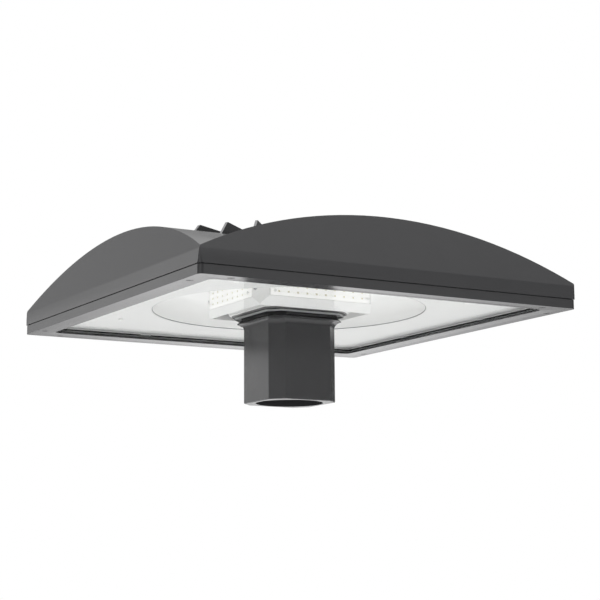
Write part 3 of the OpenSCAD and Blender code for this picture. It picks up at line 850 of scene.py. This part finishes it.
@dataclass
class Housing:
    """The arched casting with its corner fins."""

    rounding: float = 1.3 * MM

    def build(self, book: FinishBook) -> None:
        """Makes the housing.

        Args:
            book: the finishes.
        """
        shell = from_node("top_housing", "housing_casting")
        soften(shell, self.rounding, 3)
        book.dress(shell, "luminaire", "graphite_coat", "top_housing")


# ---------- lens door ----------


@dataclass
class LensDoor:
    """The framed glass door below the housing."""

    frame_rounding: float = 1.0 * MM
    glass_rounding: float = 0.5 * MM
    gasket_rounding: float = 0.25 * MM
    clip_rounding: float = 0.2 * MM
    edge_slope: float = 0.3
    boss_half: float = 297.5 * MM
    screw_x: float = 257 * MM
    head_z: float = 129 * MM
    clip_line: float = 296.5 * MM
    clip_x: float = 110 * MM
    clip_top: float = 134.8 * MM

    def build(self, book: FinishBook) -> None:
        """Makes the frame, the glass, the gaskets, the clips and all screws.

        Args:
            book: the finishes.
        """
        border = from_node("lens_frame", "door_frame")
        soften(border, self.frame_rounding, 3)
        book.dress(border, "lens_door", "graphite_coat", "lens_frame")
        pane = from_node("lens_glass", "door_glass")
        soften(pane, self.glass_rounding, 2)
        mark_faces(pane, lambda f: abs(f.normal.z) < self.edge_slope)
        book.dress(pane, "lens_door", "clear_glass", "lens_glass", extra=("ground_edge",))
        for node in ("glass_gasket", "frame_gasket"):
            strip = from_node(node, f"{node}_strip")
            soften(strip, self.gasket_rounding, 2)
            book.dress(strip, "lens_door", "black_rubber", node)
        clips = from_node("glass_clips", "glass_spring_clips")
        soften(clips, self.clip_rounding, 1)
        book.dress(clips, "lens_door", "plated_sheet", "glass_clips")
        self.frame_screws(book)
        self.clip_screws(book)

    def frame_screws(self, book: FinishBook) -> None:
        """Makes the eight captive screws in the frame's rim.

        Args:
            book: the finishes.
        """
        screw = CapScrew(5 * MM, 21.5 * MM, 9.2 * MM, 3.95 * MM, Drive.STAR, 0.8 * MM,
                         sink=0.06).make("frame_screw")
        mark_faces(screw, is_head, book.materials["screw_steel"], book.materials["graphite_coat"])
        places = [place(self.boss_half, side * self.screw_x, self.head_z, 90 * turn)
                  for turn in range(4) for side in (-1, 1)]
        book.dress(repeated(screw, places, "door_screws"), "lens_door", "screw_steel", "frame_screws",
                   extra=("graphite_coat",))

    def clip_screws(self, book: FinishBook) -> None:
        """Makes the eight small screws of the glass clips.

        Args:
            book: the finishes.
        """
        screw = CapScrew(3 * MM, 4.8 * MM, 5.6 * MM, 1.8 * MM, Drive.STAR).make("clip_screw")
        places = [place(self.clip_line, side * self.clip_x, self.clip_top, 90 * turn, 180)
                  for turn in range(4) for side in (-1, 1)]
        book.dress(repeated(screw, places, "clip_cap_screws"), "lens_door", "screw_steel", "clip_screws")


# ---------- pole fitter ----------


@dataclass
class PoleFitter:
    """The eight-sided socket, its set screws and the long bolts."""

    rounding: float = 0.9 * MM
    bolt_r: float = 32 * MM
    web_z: float = 114 * MM
    set_z: tuple[float, float] = (54 * MM, 94 * MM)
    bolt_length: float = 87 * MM
    set_inner: float = 51.65 * MM
    set_length: float = 7.25 * MM
    set_d: float = 8 * MM
    ring_start: float = 0.9 * MM
    ring_step: float = 0.6 * MM
    rings: int = 10
    root: float = 0.87
    tip: float = 0.4 * MM
    cup: float = 0.4
    cup_depth: float = 0.8 * MM
    hex_depth: float = 4 * MM

    def build(self, book: FinishBook) -> None:
        """Makes the fitter, its screws and bolts.

        Args:
            book: the finishes.
        """
        socket = from_node("pole_fitter", "fitter_casting")
        soften(socket, self.rounding, 3)
        book.dress(socket, "luminaire", "graphite_coat", "pole_fitter")
        bolt = CapScrew(8 * MM, self.bolt_length, 12.8 * MM, 8 * MM, Drive.HEX).make("fitter_bolt")
        places = [place(self.bolt_r, 0, self.web_z, 45 + 90 * turn) for turn in range(4)]
        book.dress(repeated(bolt, places, "through_bolts"), "luminaire", "screw_steel", "fitter_bolts")
        for number, (turn, z) in enumerate(((0, 0), (0, 1), (90, 0), (90, 1)), 1):
            self.set_screw(book, number, turn, self.set_z[z])

    def set_screw(self, book: FinishBook, number: int, turn: float, z: float) -> None:
        """Makes one cup-point set screw with a hex socket and a thread.

        Args:
            book: the finishes.
            number: its number.
            turn: the side of the fitter, in degrees.
            z: its height.
        """
        radius = self.set_d / 2
        piece = add_shape("cylinder", vertices=40, radius=radius, depth=self.set_length,
                          location=(0, 0, self.set_length / 2))
        cut_thread(piece, [self.ring_start + self.ring_step * step for step in range(self.rings)], self.root)
        for low in (True, False):
            pick_faces(piece, lambda f, low=low: abs(f.normal.z) > 0.9 and (f.center.z < NEAR) == low)
            bpy.ops.mesh.inset(thickness=self.tip)
            bpy.ops.mesh.inset(thickness=radius * self.cup)
            bpy.ops.transform.translate(value=(0, 0, self.cup_depth if low else 0))
            leave_edit()
        cut_away(piece, add_shape("cylinder", vertices=6, radius=radius / 2, depth=2 * self.hex_depth,
                                  location=(0, 0, self.set_length)))
        smooth(piece)
        whole = repeated(piece, [place(self.set_inner, 0, z, turn, 90)], f"cup_set_screw_{number}")
        book.dress(whole, f"set_screw_{number}_body", "screw_steel", f"set_screw_{number}")


# ---------- light hub ----------


@dataclass(frozen=True)
class HubSide:
    """One lit side of the hub."""

    name: str
    turn: float
    face: float
    half: float
    columns: int


@dataclass
class LightHub:
    """The eight-sided heat sink with its boards, lenses and reflectors."""

    board_t: float = 1.6 * MM
    board_z: float = 147.4 * MM
    board_h: float = 29 * MM
    rows: int = 3
    pitch: float = 16 * MM
    row_pitch: float = 8.5 * MM
    led: float = 3 * MM
    led_h: float = 0.7 * MM
    optic_t: float = 3 * MM
    corner_turn: float = 27.8476
    corner_face: float = 121.5349 * MM
    screw_mid: float = 19.5246 * MM
    sheet: float = 1.2 * MM
    screw_z: float = 159.2 * MM
    optic_screw_in: float = 6.4 * MM
    window_in: float = 0.35 * MM
    window_sink: float = 0.15 * MM
    painted_light_slope: float = 0.7
    sides: tuple[HubSide, ...] = (
        HubSide("front", -90, 95.5 * MM, 87 * MM, 10), HubSide("back", 90, 95.5 * MM, 87 * MM, 10),
        HubSide("left", 180, 101 * MM, 69 * MM, 8), HubSide("right", 0, 101 * MM, 69 * MM, 8))

    def build(self, book: FinishBook) -> None:
        """Makes the hub and all that it carries.

        Args:
            book: the finishes.
        """
        hub = from_node("led_hub", "hub_casting")
        soften(hub, 0.9 * MM, 2)
        book.dress(hub, "luminaire", "white_cast", "led_hub")
        ring = from_node("hub_gasket", "hub_gasket_ring")
        soften(ring, 0.4 * MM, 2)
        # painted light: the gasket's side faces get a lighter copy of the same rubber
        mark_faces(ring, lambda f: abs(f.normal.z) < self.painted_light_slope)
        book.dress(ring, "luminaire", "black_rubber", "hub_gasket", extra=("rubber_painted_light",))
        for side in self.sides:
            board = from_node(f"led_board_{side.name}", f"board_{side.name}")
            soften(board, 0.15 * MM, 1)
            book.dress(board, "luminaire", "white_board", f"led_board_{side.name}")
            lens = from_node(f"led_optic_{side.name}", f"lens_plate_{side.name}")
            smooth(lens, 32)
            book.dress(lens, "luminaire", "clear_lens", f"led_optic_{side.name}")
        self.packages(book)
        self.small_screws(book)
        for node, name in (("corner_reflectors", "corner_sheets"), ("skirt_reflector", "skirt_sheet")):
            sheet = from_node(node, name)
            soften(sheet, 0.25 * MM, 2)
            book.dress(sheet, "luminaire", "white_sheet", node)
        grommet = from_node("wire_grommet", "wire_grommet_ring")
        soften(grommet, 0.3 * MM, 2)
        book.dress(grommet, "luminaire", "black_rubber", "wire_grommet")

    def packages(self, book: FinishBook) -> None:
        """Makes the LED packages: a white body with a yellow window sunk into it.

        Args:
            book: the finishes.
        """
        piece = add_shape("cube", size=1, location=(0, 0, self.led_h / 2),
                          scale=(self.led, self.led, self.led_h))
        pick_faces(piece, lambda f: f.normal.z > 0.9)
        bpy.ops.mesh.inset(thickness=self.window_in)
        bpy.ops.mesh.inset(thickness=self.window_sink)
        bpy.ops.transform.translate(value=(0, 0, -self.window_sink))
        leave_edit()
        mark_faces(piece, lambda f: f.select, book.materials["led_body"], book.materials["led_yellow"])
        middle = self.board_z + self.board_h / 2
        places = [place(side.face + self.board_t, (i - (side.columns - 1) / 2) * self.pitch,
                        middle + (j - (self.rows - 1) / 2) * self.row_pitch, side.turn, 90)
                  for side in self.sides for i in range(side.columns) for j in range(self.rows)]
        whole = repeated(piece, places, "led_packages")
        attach(whole, "luminaire")
        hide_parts("led_chips")
        log.info("led_packages: %d faces", len(whole.data.polygons))

    def small_screws(self, book: FinishBook) -> None:
        """Makes the screws of the lens plates and of the corner sheets.

        Args:
            book: the finishes.
        """
        screw = CapScrew(2.5 * MM, 0, 4.6 * MM, 1.4 * MM, Drive.STAR, sink=0.1).make("optic_screw")
        mark_faces(screw, is_head, book.materials["screw_steel"], book.materials["white_sheet"])
        low = self.board_z + self.board_h / 2 - self.row_pitch
        places = [place(side.face + self.board_t + self.optic_t, end * (side.half - self.optic_screw_in),
                        low, side.turn, -90)
                  for side in self.sides for end in (-1, 1)]
        book.dress(repeated(screw, places, "lens_plate_screws"), "luminaire", "screw_steel", "optic_screws",
                   extra=("white_sheet",))
        screw = CapScrew(3 * MM, 0, 6 * MM, 1.8 * MM, Drive.STAR).make("corner_screw")
        places = [place(self.corner_face + self.sheet, end * self.screw_mid, self.screw_z,
                        half_turn + end * self.corner_turn, -90)
                  for half_turn in (0, 180) for end in (-1, 1)]
        book.dress(repeated(screw, places, "corner_sheet_screws"), "luminaire", "screw_steel",
                   "corner_screws")


# ---------- reflectors ----------


@dataclass
class Reflectors:
    """The white pan under the housing and the round dish above it."""

    rounding: float = 0.3 * MM
    pan_post: float = 195 * MM
    pan_z: float = 143.1 * MM
    dish_screw_r: float = 137.187 * MM
    dish_z: float = 179.8 * MM
    # painted shadow: a dark ring along the pan's round opening
    shadow_ring_r: float = 210.2 * MM
    shadow_ring_w: float = 0.6 * MM
    shadow_ring_rise: float = 1.1 * MM
    shadow_ring_stretch: float = 1.5
    hem_half: float = 284 * MM
    hem_z: float = 134.9 * MM
    hem_h: float = 2.0 * MM
    hem_t: float = 0.8 * MM
    hem_rounding: float = 0.2 * MM

    def build(self, book: FinishBook) -> None:
        """Makes pan, dish and their screws.

        Args:
            book: the finishes.
        """
        for node, name in (("reflector_pan", "pan_sheet"), ("reflector_dish", "dish_sheet")):
            sheet = from_node(node, name)
            soften(sheet, self.rounding, 2)
            # painted shade: the pan's downward faces get a darker copy of the white sheet
            mark_faces(sheet, lambda f, node=node: node == "reflector_pan" and f.normal.z < 0)
            book.dress(sheet, "luminaire", "white_sheet", node, extra=("pan_painted_shade",))
        # painted shadow: a dark ring where the opening's edge falls into shade
        self.painted_edge_shadow(book)
        self.edge_hem(book)
        screw = CapScrew(4 * MM, 12 * MM, 7.6 * MM, 2.4 * MM, Drive.STAR, sink=0.15).make("pan_screw")
        mark_faces(screw, is_head, book.materials["screw_steel"], book.materials["white_sheet"])
        places = [place(self.pan_post, self.pan_post, self.pan_z, 90 * turn) for turn in range(4)]
        book.dress(repeated(screw, places, "pan_cap_screws"), "luminaire", "screw_steel", "pan_screws",
                   extra=("white_sheet",))
        screw = CapScrew(4 * MM, 0, 7 * MM, 2 * MM, Drive.STAR).make("dish_screw")
        places = [place(self.dish_screw_r, 0, self.dish_z, 90 * turn) for turn in range(4)]
        book.dress(repeated(screw, places, "dish_cap_screws"), "luminaire", "screw_steel", "dish_screws")

    def edge_hem(self, book: FinishBook) -> None:
        """Makes the narrow white hem that turns down along the pan's outer edge.

        Args:
            book: the finishes.
        """
        hem = add_shape("plane", size=2 * self.hem_half, location=(0, 0, self.hem_z))
        hem.name = "pan_edge_hem"
        edit(hem, "EDGE")
        bpy.ops.object.mode_set(mode="EDIT")
        bpy.ops.mesh.select_all(action="SELECT")
        bpy.ops.mesh.delete(type="ONLY_FACE")
        bpy.ops.mesh.select_all(action="SELECT")
        bpy.ops.mesh.extrude_edges_move(TRANSFORM_OT_translate={"value": (0, 0, self.hem_h)})
        bpy.ops.mesh.select_all(action="SELECT")
        bpy.ops.mesh.normals_make_consistent(inside=False)
        leave_edit()
        finish_with(hem, "SOLIDIFY", thickness=self.hem_t, offset=-1.0)
        finish_with(hem, "BEVEL", width=self.hem_rounding, segments=2, limit_method="ANGLE")
        book.dress(hem, "luminaire", "white_sheet")

    def painted_edge_shadow(self, book: FinishBook) -> None:
        """Makes a thin dark ring at the pan's round opening, a painted shadow line along its edge.

        Args:
            book: the finishes.
        """
        shadow_ring = add_shape("torus", major_segments=192, minor_segments=12, major_radius=self.shadow_ring_r,
                         minor_radius=self.shadow_ring_w, location=(0, 0, 0))
        shadow_ring.name = "pan_edge_painted_shadow"
        bpy.ops.transform.resize(value=(1, 1, self.shadow_ring_stretch))
        bpy.ops.transform.translate(value=(0, 0, self.pan_z + self.shadow_ring_rise))
        drop_place(shadow_ring)
        smooth(shadow_ring)
        book.dress(shadow_ring, "luminaire", "black_rubber")


# ---------- control gear ----------


@dataclass
class ControlGear:
    """The tray and its gear; each part has a node, a name, a slot and a rounding in millimetres."""

    tray_z: float = 185 * MM
    gear_z: float = 186.5 * MM
    tray_screw_x: float = 271 * MM
    driver_x: float = 189 * MM
    driver_l: float = 138 * MM
    driver_w: float = 66 * MM
    screw_in_l: float = 4 * MM
    screw_in_w: float = 8 * MM
    driver_ear: float = 2 * MM
    parts: tuple[tuple[str, str, str, float], ...] = (
        ("gear_tray", "tray_sheet", "plated_sheet", 0.3),
        ("driver_left", "driver_case_left", "driver_case", 1.0),
        ("driver_right", "driver_case_right", "driver_case", 1.0),
        ("surge_protector", "surge_case", "black_plastic", 0.8),
        ("terminal_block", "terminals", "cream_plastic", 0.4),
        ("ground_screw", "ground_stud", "green_screw", 0.3))

    def build(self, book: FinishBook) -> None:
        """Makes the tray and its gear.

        Args:
            book: the finishes.
        """
        for node, name, slot, rounding in self.parts:
            piece = from_node(node, name)
            soften(piece, rounding * MM, 2)
            book.dress(piece, "luminaire", slot, node)
        leads = from_node("led_leads", "board_leads")
        smooth(leads, 40)
        book.dress(leads, "luminaire", "lead_white", "led_leads")
        screw = CapScrew(4 * MM, 13.5 * MM, 7.6 * MM, 2.4 * MM, Drive.STAR).make("tray_screw")
        places = [place(self.tray_screw_x, 0, self.tray_z, 90 * turn) for turn in range(4)]
        book.dress(repeated(screw, places, "tray_cap_screws"), "luminaire", "screw_steel", "tray_screws")
        screw = CapScrew(4 * MM, 0, 6.6 * MM, 2.4 * MM, Drive.HEX).make("driver_screw")
        half_l, half_w = self.driver_l / 2 - self.screw_in_l, self.driver_w / 2 - self.screw_in_w
        places = [place(self.driver_x + sx * half_l, sy * half_w, self.gear_z + self.driver_ear, turn, 180)
                  for turn in (0, 180) for sx in (-1, 1) for sy in (-1, 1)]
        book.dress(repeated(screw, places, "driver_cap_screws"), "luminaire", "screw_steel",
                   "driver_screws")


# ---------- studio ----------


@dataclass
class Studio:
    """Floor, light and camera; each soft box has an aim, a narrowness and a strength."""

    floor_z: float = -3.2
    floor_size: float = 21.4
    floor_tones: tuple[float, float] = (0.73, 0.76)
    floor_clouds: float = 0.6
    floor_roughness: float = 0.8
    eye: Point = (-1.2689, -2.2226, -0.2682)
    yaw: float = 0.52543
    pitch: float = 0.16572
    roll: float = -0.00616
    lens: float = 100.899
    lamp_place: Point = (-0.6, 0.4, 2.4)
    lamp_size: float = 2.4
    lamp_power: float = 8.0
    room: float = 0.16
    boxes: tuple[tuple[Point, float, float], ...] = (
        ((0, 0, 1), 3.0, 3.4), ((-0.49, 0.86, 0.16), 40.0, 1.54), ((-0.333, 0.86, 0.393), 20.0, 0.16),
        ((0.49, -0.86, 0.16), 40.0, 0.78), ((-0.86, -0.49, 0.16), 20.0, 0.9),
        ((0.49, 0.86, -0.28), 100.0, 2.6))

    def build(self) -> None:
        """Sets up the studio."""
        bpy.context.scene.view_settings.view_transform = "Standard"
        self.floor()
        self.world()
        self.lamps()
        self.camera()

    def floor(self) -> None:
        """Lays a wide pale floor with a softly uneven tone."""
        ground = add_shape("plane", size=self.floor_size, location=(0, 0, self.floor_z))
        ground.name = "studio_floor"
        material, tree, where = start_material("pale_floor")
        dark, pale = ((level, level, level, 1) for level in self.floor_tones)
        tone = tree.blend(tree.noise(where.outputs["Object"], self.floor_clouds, 3.0), dark, pale)
        shader = tree.add("ShaderNodeBsdfPrincipled", Base_Color=tone, Roughness=self.floor_roughness)
        tree.add("ShaderNodeOutputMaterial", Surface=shader.outputs[0])
        ground.data.materials.append(material)

    def world(self) -> None:
        """Surrounds the light with a dim room and soft boxes of light, white behind the object."""
        world = bpy.data.worlds.new("white_studio")
        bpy.context.scene.world = world
        world.use_nodes = True
        tree = ShaderTree(world.node_tree)
        where = tree.add("ShaderNodeTexCoord").outputs["Generated"]
        tone: object = self.room
        for aim, spread, strength in self.boxes:
            facing = tree.out(tree.add("ShaderNodeVectorMath", operation="DOT_PRODUCT", n0=where,
                                       n1=Vector(aim).normalized()), "Value")
            glow = tree.math("POWER", tree.math("MAXIMUM", facing, 0.0), spread)
            tone = tree.math("MULTIPLY_ADD", glow, strength, tone)
        soft = tree.add("ShaderNodeBackground", Color=WHITE, Strength=tone)
        plain = tree.add("ShaderNodeBackground", Color=WHITE, Strength=1.0)
        path = tree.add("ShaderNodeLightPath").outputs
        unlit = tree.math("SUBTRACT", 1.0, tree.math("MINIMUM", path["Diffuse Depth"], 1.0))
        through = tree.math("MULTIPLY", path["Is Transmission Ray"], unlit)
        seen = tree.math("MAXIMUM", path["Is Camera Ray"], through)
        mix = tree.add("ShaderNodeMixShader", n0=seen, n1=soft.outputs[0], n2=plain.outputs[0])
        tree.add("ShaderNodeOutputWorld", Surface=mix.outputs[0])

    def lamps(self) -> None:
        """Hangs the soft lamp above the light."""
        data = bpy.data.lights.new("top_softbox", "AREA")
        data.shape, data.size, data.energy = "SQUARE", self.lamp_size, self.lamp_power
        lamp = bpy.data.objects.new("top_softbox", data)
        lamp.location = self.lamp_place
        lamp.rotation_mode = "QUATERNION"
        lamp.rotation_quaternion = (-Vector(self.lamp_place)).to_track_quat("-Z", "Y")
        bpy.context.scene.collection.objects.link(lamp)

    def camera(self) -> None:
        """Puts the camera where the photograph was taken from."""
        ahead = Vector((math.sin(self.yaw) * math.cos(self.pitch), math.cos(self.yaw) * math.cos(self.pitch),
                        math.sin(self.pitch)))
        level = Vector((math.cos(self.yaw), -math.sin(self.yaw), 0))
        above = level.cross(ahead)
        right = math.cos(self.roll) * level + math.sin(self.roll) * above
        up = -math.sin(self.roll) * level + math.cos(self.roll) * above
        data = bpy.data.cameras.new("photo_camera")
        data.lens, data.sensor_width, data.clip_start, data.clip_end = self.lens, 36, 0.05, 100
        camera = bpy.data.objects.new("photo_camera", data)
        bpy.context.scene.collection.objects.link(camera)
        camera.matrix_world = Matrix((
            (right.x, up.x, -ahead.x, self.eye[0]), (right.y, up.y, -ahead.y, self.eye[1]),
            (right.z, up.z, -ahead.z, self.eye[2]), (0, 0, 0, 1)))
        bpy.context.scene.camera = camera


def main() -> None:
    """Builds the light from the outside in, then the studio round it."""
    logging.basicConfig(level=logging.INFO, format="%(name)s: %(message)s", stream=sys.stdout)
    book = FinishBook()
    for part in (Housing(), LensDoor(), PoleFitter(), LightHub(), Reflectors(), ControlGear()):
        part.build(book)
    Studio().build()


if __name__ == "__main__":
    main()
